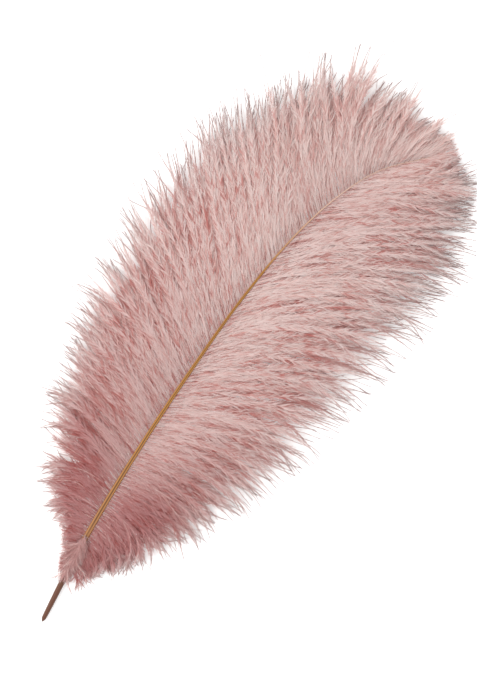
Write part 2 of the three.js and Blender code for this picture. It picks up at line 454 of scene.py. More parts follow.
def from_above(barbs, root, heading, draw):
    """The barbs' lines, all at the height of their roots."""
    barbs.length = lengths(barbs, draw)
    bearing = bearings(barbs, heading, draw)
    stride = (barbs.length / (LINE_POINTS - 1))[:, None]
    lines = np.repeat(root[:, None], LINE_POINTS, axis=1)
    lines[:, 1:, 0] += np.cumsum(np.cos(bearing) * stride, axis=1)
    lines[:, 1:, 1] += np.cumsum(np.sin(bearing) * stride, axis=1)

    edge = barbs.vane["edge"]
    across = np.abs(lines[:, :, 1]).max(1)
    held = edge + EDGE_GIVE * (1 - np.exp((edge - across) / EDGE_GIVE))
    kept = np.where(across > edge, held / across, 1)[:, None, None]
    foot = root[:, None, :2]
    lines[:, 1:, :2] = foot + (lines[:, 1:, :2] - foot) * kept
    return lines


print("points along a barb:", LINE_POINTS)

# %% [markdown]
# ## How high the barbs lie
# The vane arches up from the shaft's sides and droops to the table, as a loose plume does. The
# barbs are laid on one another inside that arch: those that slipped underneath lie low, the
# others are heaped by lock, by wisp and by their own luck. The level of a barb in this heap is
# kept, because the finish needs it too: the low barbs are painted a deeper rose, as painted shade.

# %% Heights
ROOT_DROP = 0.6             # mm under the shaft's middle, where the barbs leave it
TIP_CLEARANCE = 0.6         # mm between the table and the middle of the lowest tips
DROOP = 1.6                 # a power: the higher it is, the later the barbs fall
ARCH = 7.0                  # mm that a long barb rises on its way out
ARCH_LEAN = 0.85            # a power under 1 puts the arch's top nearer the shaft
LONG_BARB = 90.0            # mm: shorter ones rise less
LEAST_SIZE = 0.25           # but never less than this share
LOFT = 3.0                  # mm between the lowest and the highest barbs, halfway out
LOWEST_ON_TOP = 0.35        # level of the lowest barb that hasn't slipped underneath
LOCK_LEVEL, WISP_LEVEL, OWN_LEVEL = 0.3, 0.15, 0.2
MIDDLE_LEVEL = 0.5
OWN_LIFT, LOCK_LIFT = 6.0, 1.5      # mm that the tips of barbs and locks may stand up
UNDER_LIFT = 0.4            # share of that for those underneath


def heights(barbs, root):
    """The height of every point in mm, and each barb's level in the heap."""
    size = np.clip(barbs.length / LONG_BARB, LEAST_SIZE, 1)[:, None]
    fallen = SHARE[None] ** DROOP
    base = (root[:, 2:3] - ROOT_DROP) * (1 - fallen) + TIP_CLEARANCE * fallen
    base = base + size * ARCH * np.sin(np.pi * SHARE**ARCH_LEAN)
    heaped = LOWEST_ON_TOP + LOCK_LEVEL * barbs.lock_luck + WISP_LEVEL * barbs.wisp_luck
    level = np.where(barbs.under, 0, heaped) + OWN_LEVEL * barbs.luck
    level = MIDDLE_LEVEL + (level - MIDDLE_LEVEL) * read_table(barbs.vane["depth"], barbs.distance)
    heap = size * LOFT * (level - LOWEST_ON_TOP)[:, None] * np.sin(np.pi * SHARE)
    lift = (OWN_LIFT * barbs.luck**2 + LOCK_LIFT * barbs.lock_luck) * np.where(barbs.under, UNDER_LIFT, 1)
    return base + heap + lift[:, None] * SHARE**3, level


print("arch of a long barb, mm:", ARCH)

# %% Clinging together
LOCK_HOLD = (0.0, 0.15)     # how firmly locks hold
LOCK_CLOSES = (0.08, 0.6)   # share of the way out where a lock closes
LOCK_OPENS = 0.45           # share of its hold that is lost again by the tip
WISP_HOLD = (0.0, 0.5)
WISPY_HOLD = 0.35           # how much more firmly the wisps that reach out hold
WISP_CLOSES = (0.4, 1.0)


def drawn_together(lines, number, pull):
    """Pulls each line towards the middle line of its group. pull is a share for each line and point."""
    middle = np.empty_like(lines)
    for group in np.unique(number):
        members = np.flatnonzero(number == group)
        middle[members] = lines[members].mean(axis=0)
    return lines + (middle - lines) * pull[:, :, None]


def clinging(barbs, lines, draw):
    """The lines once their locks and wisps have drawn together."""
    hold = draw.uniform(*LOCK_HOLD, barbs.locks.max() + 1)[barbs.locks][:, None]
    opened = LOCK_OPENS * ease(LOCK_CLOSES[1], 1, SHARE)
    lines = drawn_together(lines, barbs.locks, hold * ease(*LOCK_CLOSES, SHARE) * (1 - opened))
    hold = draw.uniform(*WISP_HOLD, barbs.wisps.max() + 1)[barbs.wisps]
    hold = hold + WISPY_HOLD * (barbs.wispy | barbs.tall)
    lines = drawn_together(lines, barbs.wisps, hold[:, None] * ease(*WISP_CLOSES, SHARE))
    lines[:, :, 2] = np.maximum(lines[:, :, 2], TIP_CLEARANCE)
    return lines


print("firmest hold of a lock:", LOCK_HOLD[1])

# %% Both vanes
LINE_EVERY = (1.6, 3.2)     # mm between the barbs whose stems show as lines
WORN = (230.0, 340.0)       # mm from the quill end, where the left vane's dye fades


def every_few(distance, steps, draw):
    """1 for a barb every few mm, 0 for the others."""
    marks = FIRST_BARB + np.cumsum(draw.uniform(*steps, int(SHAFT_LENGTH / steps[0])))
    chosen = np.zeros(len(distance))
    chosen[np.searchsorted(distance, marks[marks < distance[-1]])] = 1.0
    return chosen


def grown(vane):
    """One vane's barbs: their lines in mm, and the values that the tree and the finish read."""
    draw = np.random.default_rng(vane["seed"])
    barbs = characters(vane, draw)
    set_apart(barbs)
    root, heading = shaft_at(barbs.distance)
    lines = from_above(barbs, root, heading, draw)
    lines[:, :, 2], level = heights(barbs, root)
    lines = clinging(barbs, lines, draw)
    return {
        "lines": lines,
        "distance": barbs.distance,
        "level": level,
        "tint": barbs.luck,
        "bare": (barbs.wispy & ~barbs.tall) * 1.0,
        "lined": every_few(barbs.distance, LINE_EVERY, draw),
        "blush": read_table(vane["blush"], barbs.distance),
        "worn": ease(*WORN, barbs.distance) * vane["wears"],
    }


left_vane = grown(LEFT_VANE)
right_vane = grown(RIGHT_VANE)
for name, vane in (("left", left_vane), ("right", right_vane)):
    low, high = vane["lines"].min((0, 1)), vane["lines"].max((0, 1))
    print(name, "vane lines from", low.round(0), "to", high.round(0))

# %% [markdown]
# ## The down at the foot
# Where the vanes begin, the real plume has a tuft of short curling down that grows over the
# shaft's top and lies back along the quill. The vanes' tables can't give it, because it comes
# from the top of the shaft and not from its sides, so it gets lines of its own.

# %% Foot lines
FOOT_BARBS = 90
FOOT_SEED = 31
FOOT_PLACES = (40.0, 66.0)          # mm from the quill end
FOOT_LENGTH = (9.0, 22.0)           # mm
FOOT_SPREAD = math.radians(34)      # either side of straight back along the quill
FOOT_LEAN = (0.15, 1.0)             # share of that spread
FOOT_BEND = (0.25, 0.5)             # radians: the middle one, and how they differ
FOOT_RISE = (0.5, 3.0)              # mm
FOOT_RISE_LEAN = 0.7                # a power under 1 puts the highest point nearer the root
FOOT_FALL = 0.12                    # share of its length that a barb falls by
FOOT_ACROSS, FOOT_UP = 0.6, 0.7     # where it grows: shares of the shaft's half width
FOOT_LEVEL = (0.3, 0.8)             # in the heap
FOOT_LINED = 0.4                    # share of the barbs whose stems show as lines
FOOT_WORN = 0.8


def foot_lines():
    """The down's lines and values, as for a vane."""
    draw = np.random.default_rng(FOOT_SEED)
    distance = np.sort(draw.uniform(*FOOT_PLACES, FOOT_BARBS))
    root, heading = shaft_at(distance)
    side = draw.choice([-1.0, 1.0], FOOT_BARBS)
    lean = draw.uniform(*FOOT_LEAN, FOOT_BARBS) * FOOT_SPREAD * side
    bend = draw.normal(*FOOT_BEND, FOOT_BARBS) * side
    bearing = (heading + np.pi - lean)[:, None] + bend[:, None] * HALFWAY
    length = draw.uniform(*FOOT_LENGTH, FOOT_BARBS)
    stride = (length / (LINE_POINTS - 1))[:, None]

    half = read_table(SHAFT_HALF_WIDTH, distance)
    rightwards = np.stack([np.sin(heading), -np.cos(heading)], -1)
    lines = np.repeat(root[:, None], LINE_POINTS, axis=1)
    lines[:, :, :2] += (rightwards * (side * half * FOOT_ACROSS)[:, None])[:, None]
    lines[:, 1:, 0] += np.cumsum(np.cos(bearing) * stride, axis=1)
    lines[:, 1:, 1] += np.cumsum(np.sin(bearing) * stride, axis=1)
    rise = draw.uniform(*FOOT_RISE, FOOT_BARBS)[:, None] * np.sin(np.pi * SHARE**FOOT_RISE_LEAN)
    height = (root[:, 2] + half * FOOT_UP)[:, None] + rise - (length[:, None] * FOOT_FALL) * SHARE**2
    lines[:, :, 2] = np.maximum(height, TIP_CLEARANCE)
    luck = draw.uniform(0, 1, FOOT_BARBS)
    return {
        "lines": lines,
        "distance": distance,
        "level": FOOT_LEVEL[0] + (FOOT_LEVEL[1] - FOOT_LEVEL[0]) * luck,
        "tint": luck,
        "bare": np.zeros(FOOT_BARBS),
        "lined": (luck > 1 - FOOT_LINED) * 1.0,
        "blush": np.ones(FOOT_BARBS),
        "worn": np.full(FOOT_BARBS, FOOT_WORN),
    }


foot = foot_lines()
low, high = foot["lines"].min((0, 1)), foot["lines"].max((0, 1))
print("down at the foot from", low.round(0), "to", high.round(0))

# %% [markdown]
# ## The barbules
# A barbule of a plume is a soft flat thread, a few millimetres long, that leaves the barb at a
# slant and bends along it. One is made here as a narrow strip of a few faces; Geometry Nodes set
# it along every barb by turns on one side and the other, at full length in the middle, shorter
# at the root and shortest at the tip, each at its own slant, roll and length. Curves with a hair
# shader would be lighter, but only real faces come through the export.

# %% One barbule, as shares of its length
BARBULE_STEPS = 2
BARBULE_WIDTH = 0.052
BARBULE_TAPER = 0.3     # share of the width that is lost before the pointed end
BARBULE_BEND = 0.28
BARBULE_LIFT = 0.06


def placed(name, data):
    """A new object in the scene."""
    made = bpy.data.objects.new(name, data)
    bpy.context.scene.collection.objects.link(made)
    return made


def one_barbule():
    """A strip of unit length along +X that bends towards +Y and lifts a little."""
    points, faces = [], []
    for i in range(BARBULE_STEPS):
        x = i / BARBULE_STEPS
        half = BARBULE_WIDTH / 2 * (1 - BARBULE_TAPER * x)
        bend, lift = BARBULE_BEND * x * x, BARBULE_LIFT * x * x
        points += [(x, bend - half, lift), (x, bend + half, lift)]
    points.append((1.0, BARBULE_BEND, BARBULE_LIFT))
    for i in range(BARBULE_STEPS - 1):
        a = 2 * i
        faces.append((a, a + 2, a + 3, a + 1))
    last = 2 * (BARBULE_STEPS - 1)
    faces.append((last, last + 2, last + 1))
    mesh = bpy.data.meshes.new("barbule")
    mesh.from_pydata(points, [], faces)
    edges = [-1.0, 1.0] * BARBULE_STEPS + [0.0]
    for name, values in (("along", [p[0] for p in points]), ("edge", edges)):
        mesh.attributes.new(name, "FLOAT", "POINT").data.foreach_set("value", values)
    return placed("barbule", mesh)


barbule = one_barbule()
print("faces in a barbule:", len(barbule.data.polygons))

# %% The tree that clothes a barb
TREE_INPUTS = [
    ("Barbule", "NodeSocketObject", None),
    ("Finish", "NodeSocketMaterial", None),
    ("Barb Radius", "NodeSocketFloat", 0.2 * MM),
    ("Spacing", "NodeSocketFloat", 0.38 * MM),
    ("Longest Barbule", "NodeSocketFloat", 9.0 * MM),
    ("Slant", "NodeSocketFloat", math.radians(27)),
    ("Roll", "NodeSocketFloat", math.radians(50)),
    ("Seed", "NodeSocketInt", 1),
]
STEM_CORNERS = 3
STEM_ROOT, STEM_THINS = 1.1, 0.6            # shares of the radius: at the root, lost by the tip
STEM_PLAIN, STEM_LINED = 0.85, 0.85         # of any stem, and more for those that show as lines
SLANT_VARIES = (0.4, 1.6)
SLANT_AT_ROOT, SLANT_OPENS = 0.72, (0.05, 0.45)     # share of the slant, until it has opened
SLANT_AT_TIP, SLANT_CLOSES = 0.45, (0.7, 1.0)       # and from where it closes again
ROLL_DOWN, ROLL_UP, ROLL_UP_OUTWARDS = -1.0, 0.15, 0.4
LENGTH_VARIES = (0.6, 1.1)
LENGTH_AT_ROOT, LENGTH_GROWS = 0.5, (0.0, 0.18)
LENGTH_AT_TIP, LENGTH_SHRINKS = 0.3, (0.6, 1.0)
BARED, BARED_OVER = 0.75, (0.65, 0.92)      # share that a wispy barb's end has lost, and where


class TreeBench(Bench):
    """A bench with what Geometry Nodes need besides."""

    def store(self, geometry, name, value):
        return self.add(
            "GeometryNodeStoreNamedAttribute",
            {"data_type": "FLOAT", "domain": "POINT"},
            {"Geometry": geometry, "Name": name, "Value": value},
        )["Geometry"]

    def stored(self, name):
        read = self.add("GeometryNodeInputNamedAttribute", {"data_type": "FLOAT"}, {"Name": name})
        return read["Attribute"]

    def chance(self, low, high, seed):
        return self.add("FunctionNodeRandomValue", {"data_type": "FLOAT"}, {2: low, 3: high, "Seed": seed})[1]


def barb_stems(bench, given, curves, place):
    """The barbs themselves: thin three-cornered tubes."""
    radius = (STEM_ROOT - STEM_THINS * place) * (STEM_PLAIN + STEM_LINED * bench.stored("lined"))
    curves = bench.add("GeometryNodeSetCurveRadius", None, {"Curve": curves, "Radius": radius})["Curve"]
    ring = bench.add(
        "GeometryNodeCurvePrimitiveCircle", None, {"Resolution": STEM_CORNERS, "Radius": given["Barb Radius"]}
    )["Curve"]
    corner = bench.add("GeometryNodeInputIndex")["Index"]
    ring = bench.store(ring, "edge", corner - 1.0)
    stems = bench.add("GeometryNodeCurveToMesh", None, {"Curve": curves, "Profile Curve": ring})["Mesh"]
    return bench.store(stems, "stem", 1.0)


def barbule_heading(bench, given, tangent, side, out):
    """The direction in which each barbule leaves its barb."""
    across = bench.vector("NORMALIZE", bench.vector("CROSS_PRODUCT", tangent, (0.0, 0.0, 1.0)))
    rise = bench.vector("CROSS_PRODUCT", across, tangent)
    opened = bench.between(out, SLANT_OPENS, (SLANT_AT_ROOT, 1.0), smooth=True)
    closed = bench.between(out, SLANT_CLOSES, (1.0, SLANT_AT_TIP), smooth=True)
    slant = given["Slant"] * opened * closed * bench.chance(*SLANT_VARIES, given["Seed"] + 1.0)
    roll_up = ROLL_UP + ROLL_UP_OUTWARDS * out
    roll = given["Roll"] * bench.chance(ROLL_DOWN, roll_up, given["Seed"] + 2.0)
    leaning, level = bench.maths("SINE", slant), bench.maths("COSINE", roll)
    sideways = bench.vector("SCALE", across, scale=side * level * leaning)
    upwards = bench.vector("SCALE", rise, scale=bench.maths("SINE", roll) * leaning)
    forwards = bench.vector("SCALE", tangent, scale=bench.maths("COSINE", slant))
    return bench.vector("ADD", bench.vector("ADD", sideways, upwards), forwards)


def barbule_length(bench, given, out):
    """Each barbule's length."""
    grown_to = bench.between(out, LENGTH_GROWS, (LENGTH_AT_ROOT, 1.0), smooth=True)
    shrunk_to = bench.between(out, LENGTH_SHRINKS, (1.0, LENGTH_AT_TIP), smooth=True)
    bared = bench.stored("bare") * bench.between(out, BARED_OVER, (0.0, BARED), smooth=True)
    luck = bench.chance(*LENGTH_VARIES, given["Seed"] + 3.0)
    return given["Longest Barbule"] * bench.stored("full") * grown_to * shrunk_to * (1.0 - bared) * luck


def barbule_threads(bench, given, curves):
    """The barbules, set along the barbs by turns on either side."""
    spots = bench.add(
        "GeometryNodeCurveToPoints", {"mode": "LENGTH"}, {"Curve": curves, "Length": given["Spacing"]}
    )
    out = bench.stored("out")
    index = bench.add("GeometryNodeInputIndex")["Index"]
    side = bench.maths("MODULO", index, 2.0) * 2.0 - 1.0
    turn = bench.add(
        "FunctionNodeAxesToRotation",
        {"primary_axis": "X", "secondary_axis": "Y"},
        {
            "Primary Axis": barbule_heading(bench, given, spots["Tangent"], side, out),
            "Secondary Axis": spots["Tangent"],
        },
    )["Rotation"]
    threads = bench.add(
        "GeometryNodeInstanceOnPoints",
        None,
        {
            "Points": bench.store(spots["Points"], "side", side),
            "Instance": bench.add("GeometryNodeObjectInfo", None, {"Object": given["Barbule"]})["Geometry"],
            "Rotation": turn,
            "Scale": barbule_length(bench, given, out),
        },
    )["Instances"]
    return bench.add("GeometryNodeRealizeInstances", None, {"Geometry": threads})["Geometry"]


def barb_tree():
    """Geometry Nodes: barb lines in, barbs with their barbules out."""
    tree = bpy.data.node_groups.new("clothe barbs", "GeometryNodeTree")
    tree.interface.new_socket("Geometry", in_out="INPUT", socket_type="NodeSocketGeometry")
    for name, kind, value in TREE_INPUTS:
        socket = tree.interface.new_socket(name, in_out="INPUT", socket_type=kind)
        if value is not None:
            socket.default_value = value
    tree.interface.new_socket("Geometry", in_out="OUTPUT", socket_type="NodeSocketGeometry")

    bench = TreeBench(tree)
    given = bench.add("NodeGroupInput")
    curves = bench.add("GeometryNodeMeshToCurve", None, {"Mesh": given["Geometry"]})["Curve"]
    place = bench.add("GeometryNodeSplineParameter")["Factor"]
    curves = bench.store(curves, "out", place)
    stems = barb_stems(bench, given, curves, place)
    threads = barbule_threads(bench, given, curves)
    both = bench.add("GeometryNodeJoinGeometry")
    for part in (threads, stems):
        tree.links.new(part.socket, both.node.inputs["Geometry"])
    finished = bench.add(
        "GeometryNodeSetMaterial", None, {"Geometry": both["Geometry"], "Material": given["Finish"]}
    )["Geometry"]
    bench.add("NodeGroupOutput", None, {"Geometry": finished})
    return tree


clothe = barb_tree()
print("nodes in the tree:", len(clothe.nodes))

# %% [markdown]
# ## The finish of the barbs
# Dyed down has no gloss: light soaks in, bounces about between the barbs and comes back redder,
# so the deep places look a stronger rose than the tips. Here that is painted shade: barbs that lie
# low in the heap are coloured a deeper rose, and the ends of buried barbs are painted dark. Part
# of the light shines through as well, which is what the translucent share is for. The dye itself
# varies from barb to barb, and this is painted along and across the barbs from their own
# attributes, not from where they lie on the table.

# %% Colours of the down
PALE_ROSE = linear(246, 236, 232)
ROSE = linear(230, 204, 198)
# dye and painted shade: the colour that the barbs lying lowest in the heap are painted
DEEP_ROSE_AND_SHADE = linear(204, 132, 126)
STEM_PALE = linear(250, 238, 230)
STEM_LINE = linear(138, 72, 64)
STEM_TIP = linear(136, 106, 106)
MAUVE_TIP = linear(214, 200, 198)
# painted shade on the ends of the barbs that lie low in the heap
SHADED_TIP = linear(166, 134, 131)
WORN_ROSE = linear(228, 214, 210)
GLOW = linear(240, 200, 193)
BASE_BLUSH = (0.58, 0.34, 0.355, 1.0)      # what is left of the light at the lowest barbs
print("deep rose, as light:", [round(part, 3) for part in DEEP_ROSE_AND_SHADE[:3]])

# %% Barb finish
DYE_AND_SHADE_STOPS = [(0.08, DEEP_ROSE_AND_SHADE), (0.42, ROSE), (0.75, PALE_ROSE)]
STREAK_WAVES, STREAK_DETAIL = (5.0, 60.0, 1.0), 3.0         # along and across the rows of barbs
THREAD_WAVES, THREAD_DETAIL = (40.0, 100.0, 1.0), 1.0
NEAR_SHAFT = (0.05, 0.6)            # share of the way out, where nearness to the shaft dies out
STREAKS, STREAKS_NEAR = 0.6, 0.9    # how strongly streaks show anywhere, and more near the shaft
THREADS, THREADS_NEAR = 3.6, 1.4    # how strongly threads show anywhere, and less near the shaft
# the weight of a barb's level paints the low barbs a deeper rose, as painted shade
TINT_WEIGHT, DEPTH_SHADE_WEIGHT, PALER = 0.15, 0.62, 0.03
OUTWARD_OVER, OUTWARD_PALER = (0.1, 0.6), (0.2, -0.04)
TIP_OVER = (0.55, 0.95)             # share of the way out, where a barb's end begins and is full
DUSK_OVER = (0.7, 0.98)             # and where its stem darkens
FRESH_OVER, FRESH_OUTWARDS = (0.35, 0.65), 0.8      # blush over which stems turn from red to pale
BLUSH, BLUSH_OUTWARDS, BLUSH_AT_TIP = 0.95, 0.35, 0.6
WORN_SHARE, TIP_SHARE, STEM_SHARE = 0.4, 0.85, 0.9
# levels over which the painted shade on buried barb ends fades out
BURIED_SHADE_OVER, BURIED_SHADE_RANGE = (0.15, 0.35), (0.7, 0.0)
SHINES_THROUGH, LESS_AT_TIP = 0.4, 0.28


def new_finish(name):
    """An empty material, with a bench for its nodes."""
    finish = bpy.data.materials.new(name)
    finish.use_nodes = True
    finish.node_tree.nodes.clear()
    return finish, Bench(finish.node_tree)


def barb_finish():
    finish, bench = new_finish("dyed down")

    def read(name):
        return bench.add("ShaderNodeAttribute", {"attribute_name": name})["Fac"]

    row = bench.add("ShaderNodeUVMap", {"uv_map": "OFBake"})["UV"]
    out = bench.add("ShaderNodeSeparateXYZ", None, {0: row})[0]
    blush = read("blush")
    tip = bench.between(out, TIP_OVER)
    near = bench.between(out, NEAR_SHAFT, (1.0, 0.0))

    # the dye varies along the barb and across it, and painted shade makes it redder where the barb lies deep
    # in the heap
    streaks = (bench.noise(row, STREAK_WAVES, STREAK_DETAIL) - 0.5) * (STREAKS + near * STREAKS_NEAR)
    threads = (bench.noise(row, THREAD_WAVES, THREAD_DETAIL) - 0.5) * (THREADS - near * THREADS_NEAR)
    # painted shade: a barb's level in the heap turns the low ones towards deep rose
    tone_and_shade = streaks + threads + read("tint") * TINT_WEIGHT + read("level") * DEPTH_SHADE_WEIGHT
    tone_and_shade = tone_and_shade + bench.between(out, OUTWARD_OVER, OUTWARD_PALER) + PALER
    colour = bench.add("ShaderNodeValToRGB", {"stops": DYE_AND_SHADE_STOPS}, {0: tone_and_shade})[0]
    depth = blush * (BLUSH + out * BLUSH_OUTWARDS - tip * BLUSH_AT_TIP)
    colour = bench.mix(depth, colour, BASE_BLUSH, blend="MULTIPLY")

    # the wear, then the ends of the barbs: mauve on top, and painted shade that darkens them where they are
    # buried
    colour = bench.mix(read("worn") * WORN_SHARE, colour, WORN_ROSE)
    buried_shade = bench.between(read("level"), BURIED_SHADE_OVER, BURIED_SHADE_RANGE)
    colour = bench.mix(tip * TIP_SHARE, colour, bench.mix(buried_shade, MAUVE_TIP, SHADED_TIP))

    # the stems that show as lines, and every stem's bare end
    dusk = bench.between(out, DUSK_OVER)
    red = bench.between(blush + out * FRESH_OUTWARDS, FRESH_OVER, (1.0, 0.0))
    stem = bench.mix(dusk, bench.mix(red, STEM_PALE, STEM_LINE), STEM_TIP)
    shows = bench.maths("MAXIMUM", read("lined"), dusk)
    colour = bench.mix(read("stem") * shows * STEM_SHARE, colour, stem)

    skin = bench.add(
        "ShaderNodeBsdfPrincipled", None, {"Base Color": colour, "Roughness": 0.9, "Specular IOR Level": 0.2}
    )[0]
    glow = bench.add("ShaderNodeBsdfTranslucent", None, {"Color": GLOW})[0]
    surface = bench.add(
        "ShaderNodeMixShader", None, {0: SHINES_THROUGH - tip * LESS_AT_TIP, 1: skin, 2: glow}
    )[0]
    bench.add("ShaderNodeOutputMaterial", None, {"Surface": surface})
    return finish


down = barb_finish()
print("barb finish nodes:", len(down.node_tree.nodes))

# %% [markdown]
# ## Clothing the barbs
# Each vane is made in four stretches, from the quill to the tip, because one mesh with all its
# barbules would be too heavy to handle. A stretch is a mesh of bare lines with their values on
# them; the tree turns it into barbs, and the result is kept as a plain mesh. Its UV map puts each
# barb in a row of its own, root to tip, so that a painted texture of it would be unrolled barbs.

# %% Bare lines
FULL_OVER, FULL_FROM = (40.0, 75.0), 0.55   # mm from the quill end where barbules reach full length


def line_mesh(name, vane, first, last):
    """Bare barb lines as mesh edges, with each barb's values on its points."""
    lines = vane["lines"][first:last] * MM
    count, points = lines.shape[:2]
    start = np.arange(count)[:, None] * points + np.arange(points - 1)
    edges = np.stack([start, start + 1], -1).reshape(-1, 2)
    mesh = bpy.data.meshes.new(name)
    mesh.from_pydata(lines.reshape(-1, 3).tolist(), edges.tolist(), [])
    full = ease(*FULL_OVER, vane["distance"][first:last]) * (1 - FULL_FROM) + FULL_FROM
    values = {"row": np.arange(count), "full": full}
    for key in ("tint", "level", "bare", "lined", "blush", "worn"):
        values[key] = vane[key][first:last]
    for key, per_barb in values.items():
        mesh.attributes.new(key, "FLOAT", "POINT").data.foreach_set(
            "value", np.repeat(per_barb, points).astype(np.float32)
        )
    return mesh, count


print("barbules reach full length, mm from the quill end:", FULL_OVER[1])

# %% Unrolled barbs, as shares of a barb's row
UV_MARGIN = 0.02        # of the whole map
BARBULE_UV = 0.003      # how far along its barb's row a barbule reaches
STEM_UV = 0.08          # half the width of the barb itself
BARBULE_ROW = 0.28      # from a row's middle to the middle of the barbules' lane
BARBULE_LANE = 0.14     # half the width of that lane


def read_values(mesh, name):
    values = np.zeros(len(mesh.vertices), np.float32)
    mesh.attributes[name].data.foreach_get("value", values)
    return values


def unroll(mesh, rows):
    """The UV map: how far out along the barb, and the barb's own row."""
    out = read_values(mesh, "out") * (1 - BARBULE_UV) + read_values(mesh, "along") * BARBULE_UV
    lane = read_values(mesh, "side") * BARBULE_ROW
    half_lane = np.where(read_values(mesh, "stem") > 0.5, STEM_UV, BARBULE_LANE)
    across = (read_values(mesh, "row") + 0.5 + lane + read_values(mesh, "edge") * half_lane) / rows
    corner = np.zeros(len(mesh.loops), np.int32)
    mesh.loops.foreach_get("vertex_index", corner)
    uv = np.stack([out, across], -1)[corner] * (1 - 2 * UV_MARGIN) + UV_MARGIN
    mesh.uv_layers.new(name="OFBake").data.foreach_set("uv", uv.astype(np.float32).ravel())


print("a barb's row, from stem to lane:", BARBULE_ROW)

# %% Vane pieces
STRETCHES = [("base", 0, 190), ("lower", 190, 325), ("upper", 325, 450), ("tip", 450, BARBS_PER_SIDE)]
LEAST_HEIGHT = 0.1 * MM     # nothing of a barb lies lower


def clothed(name, vane, first, last, seed):
    """One stretch of a vane as a plain mesh piece."""
    mesh, rows = line_mesh(name, vane, first, last)
    carrier = placed(name + "_lines", mesh)
    modifier = carrier.modifiers.new("clothe", "NODES")
    modifier.node_group = clothe
    given = {"Barbule": barbule, "Finish": down, "Seed": seed}
    for item in clothe.interface.items_tree:
        if item.in_out == "INPUT" and item.name in given:
            modifier[item.identifier] = given[item.name]
    seen = carrier.evaluated_get(bpy.context.evaluated_depsgraph_get())
    made = bpy.data.meshes.new_from_object(seen)
    carrier.modifiers.remove(modifier)
    bpy.data.objects.remove(carrier)
    made.name = name
    points = np.zeros(len(made.vertices) * 3, np.float32)
    made.vertices.foreach_get("co", points)
    points[2::3] = np.maximum(points[2::3], LEAST_HEIGHT)
    made.vertices.foreach_set("co", points)
    unroll(made, rows)
    piece = placed(name, made)
    made.calc_loop_triangles()
    print(name, "triangles:", len(made.loop_triangles))
    return piece


vane_pieces = []
for side_name, vane in (("left", left_vane), ("right", right_vane)):
    for stretch, first, last in STRETCHES:
        name = f"{side_name}_barbs_{stretch}"
        vane_pieces.append(clothed(name, vane, first, last, len(vane_pieces) + 1))
vane_pieces.append(clothed("foot_down", foot, 0, FOOT_BARBS, len(vane_pieces) + 1))
bpy.data.objects.remove(barbule)

# %% [markdown]
# ## The shaft
# The shaft is horn: round and hollow at the quill, then solid, paler and grooved along its
# barbed length, and as thin as a hair at the tip. A curve with a bevel can't change its section
# on the way, so rings are set along the line and joined, with the groove pressed into the top.

# %% Shaft piece
SHAFT_RINGS = 180
RING_POINTS = 24
QUILL_END = 1.6                     # mm over which the quill's cut end is rounded
QUILL_END_LEAST = 0.04              # squared share of the width that its flat face keeps
GROOVE_OVER = (48.0, 80.0)          # mm from the quill end, where the groove begins and is full
GROOVE_DEPTH = 0.32                 # share of the half width
GROOVE_HALF_ANGLE = math.radians(38)
GROOVE_FLOOR = 0.15                 # share of that angle that is flat
SHAFT_CLEARANCE = 0.05              # mm over the table, at least
SHAFT_UV_MARGIN = 0.01


def ring_points():
    """The shaft's rings, one row of points each, in mm."""
    distance = np.linspace(0, SHAFT_LENGTH, SHAFT_RINGS)
    middle, heading = shaft_at(distance)
    rounded = np.clip(1 - (1 - np.minimum(distance / QUILL_END, 1)) ** 2, QUILL_END_LEAST, 1)
    radius = read_table(SHAFT_HALF_WIDTH, distance) * np.sqrt(rounded)
    angle = np.linspace(0, 2 * np.pi, RING_POINTS, endpoint=False)
    from_top = np.abs(np.angle(np.exp(1j * (angle - np.pi / 2))))
    pressed = 1 - ease(GROOVE_FLOOR, 1, from_top / GROOVE_HALF_ANGLE)
    groove = GROOVE_DEPTH * ease(*GROOVE_OVER, distance)[:, None] * pressed
    reach = radius[:, None] * (1 - groove)
    rightwards = np.stack([np.sin(heading), -np.cos(heading), np.zeros_like(heading)], -1)
    points = middle[:, None] + rightwards[:, None] * (reach * np.cos(angle))[:, :, None]
    points[:, :, 2] = np.maximum(points[:, :, 2] + reach * np.sin(angle), SHAFT_CLEARANCE)
    return points


def unroll_shaft(mesh):
    """The shaft's UV map: along it, and around it."""
    uv = mesh.uv_layers.new(name="OFBake")
    width = 1 - 2 * SHAFT_UV_MARGIN
    for face in mesh.polygons:
        cap = len(face.vertices) > 4
        corners = [(v // RING_POINTS, v % RING_POINTS) for v in face.vertices]
        wraps = not cap and max(c[1] for c in corners) - min(c[1] for c in corners) > 1
        for loop, (i, j) in zip(face.loop_indices, corners):
            turn = RING_POINTS if wraps and j == 0 else j
            along, around = i / (SHAFT_RINGS - 1), turn / RING_POINTS
            uv.data[loop].uv = (SHAFT_UV_MARGIN + width * along, SHAFT_UV_MARGIN + width * around)


def shaft_piece():
    """Rings joined by faces, with a cap at either end."""
    ring = np.arange(RING_POINTS)
    beside = (ring + 1) % RING_POINTS
    faces = []
    for i in range(SHAFT_RINGS - 1):
        a, b = i * RING_POINTS, (i + 1) * RING_POINTS
        faces += np.stack([a + ring, a + beside, b + beside, b + ring], -1).tolist()
    faces.append(ring[::-1].tolist())
    faces.append(((SHAFT_RINGS - 1) * RING_POINTS + ring).tolist())
    mesh = bpy.data.meshes.new("shaft")
    mesh.from_pydata((ring_points().reshape(-1, 3) * MM).tolist(), [], faces)
    unroll_shaft(mesh)
    mesh.shade_smooth()
    return placed("shaft", mesh)


shaft = shaft_piece()
print("shaft faces:", len(shaft.data.polygons))
